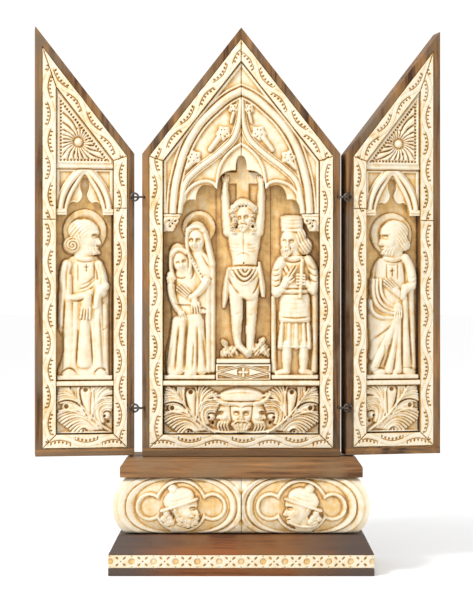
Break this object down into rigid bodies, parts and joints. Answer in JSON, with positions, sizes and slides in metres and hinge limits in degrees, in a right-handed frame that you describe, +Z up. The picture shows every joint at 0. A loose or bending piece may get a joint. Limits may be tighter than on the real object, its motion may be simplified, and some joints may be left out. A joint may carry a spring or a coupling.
{
  "type": "triptych altarpiece",
  "caption": "Folding altarpiece of wood and carved bone: gabled centre panel with relief figures under tracery, hinged gabled wings, moulded base with roll and quatrefoils.",
  "frame": {"origin": "middle of the underside of the base board", "axes": "+Z up, the carved front faces -Y, +X to the viewer's right"},
  "size_m": [0.2866, 0.0834, 0.3787],
  "materials": {
    "bone": "carved and polished bone, aged cream, darker in the hollows",
    "wood": "oiled brown hardwood, worn at the edges",
    "iron": "dark forged iron wire"
  },
  "bodies": {
    "stand": {"base_band_front": "bone", "base_band_left": "bone", "base_band_right": "bone", "base_board": "wood", "capital_left": "bone", "capital_right": "bone", "centre_case": "wood", "centre_shelf": "bone", "centre_strip_bottom": "bone", "centre_strip_gable_left": "bone", "centre_strip_gable_right": "bone", "centre_strip_left": "bone", "centre_strip_right": "bone", "crucifixion_block": "bone", "crucifixion_plaque": "bone", "left_hinge_lower_case_eye": "iron", "left_hinge_upper_case_eye": "iron", "mask_plaque": "bone", "mourners_plaque": "bone", "pedestal_block": "wood", "right_hinge_lower_case_eye": "iron", "right_hinge_upper_case_eye": "iron", "roll_front_left": "bone", "roll_front_right": "bone", "roll_side_left": "bone", "roll_side_right": "bone", "soldier_plaque": "bone", "top_board": "wood", "tracery_left": "bone", "tracery_right": "bone"},
    "left_wing": {"left_hinge_lower_wing_eye": "iron", "left_hinge_upper_wing_eye": "iron", "left_wing_case": "wood", "left_wing_foliage": "bone", "left_wing_gable": "bone", "left_wing_saint": "bone", "left_wing_shelf": "bone", "left_wing_strip_bottom": "bone", "left_wing_strip_inner_lower": "bone", "left_wing_strip_inner_upper": "bone", "left_wing_strip_outer_lower": "bone", "left_wing_strip_outer_upper": "bone", "left_wing_strip_slope": "bone"},
    "right_wing": {"right_hinge_lower_wing_eye": "iron", "right_hinge_upper_wing_eye": "iron", "right_wing_case": "wood", "right_wing_foliage": "bone", "right_wing_gable": "bone", "right_wing_saint": "bone", "right_wing_shelf": "bone", "right_wing_strip_bottom": "bone", "right_wing_strip_inner_lower": "bone", "right_wing_strip_inner_upper": "bone", "right_wing_strip_outer_lower": "bone", "right_wing_strip_outer_upper": "bone", "right_wing_strip_slope": "bone"}
  },
  "joints": [
    {"name": "left_wing_hinge", "type": "hinge", "parent": "stand", "child": "left_wing", "pos_m": [-0.072, -0.0095, 0.2], "axis": [0, 0, 1], "range_deg": [-22.5, 171.5]},
    {"name": "right_wing_hinge", "type": "hinge", "parent": "stand", "child": "right_wing", "pos_m": [0.072, -0.0095, 0.2], "axis": [0, 0, -1], "range_deg": [-1.5, 192.5]}
  ]
}
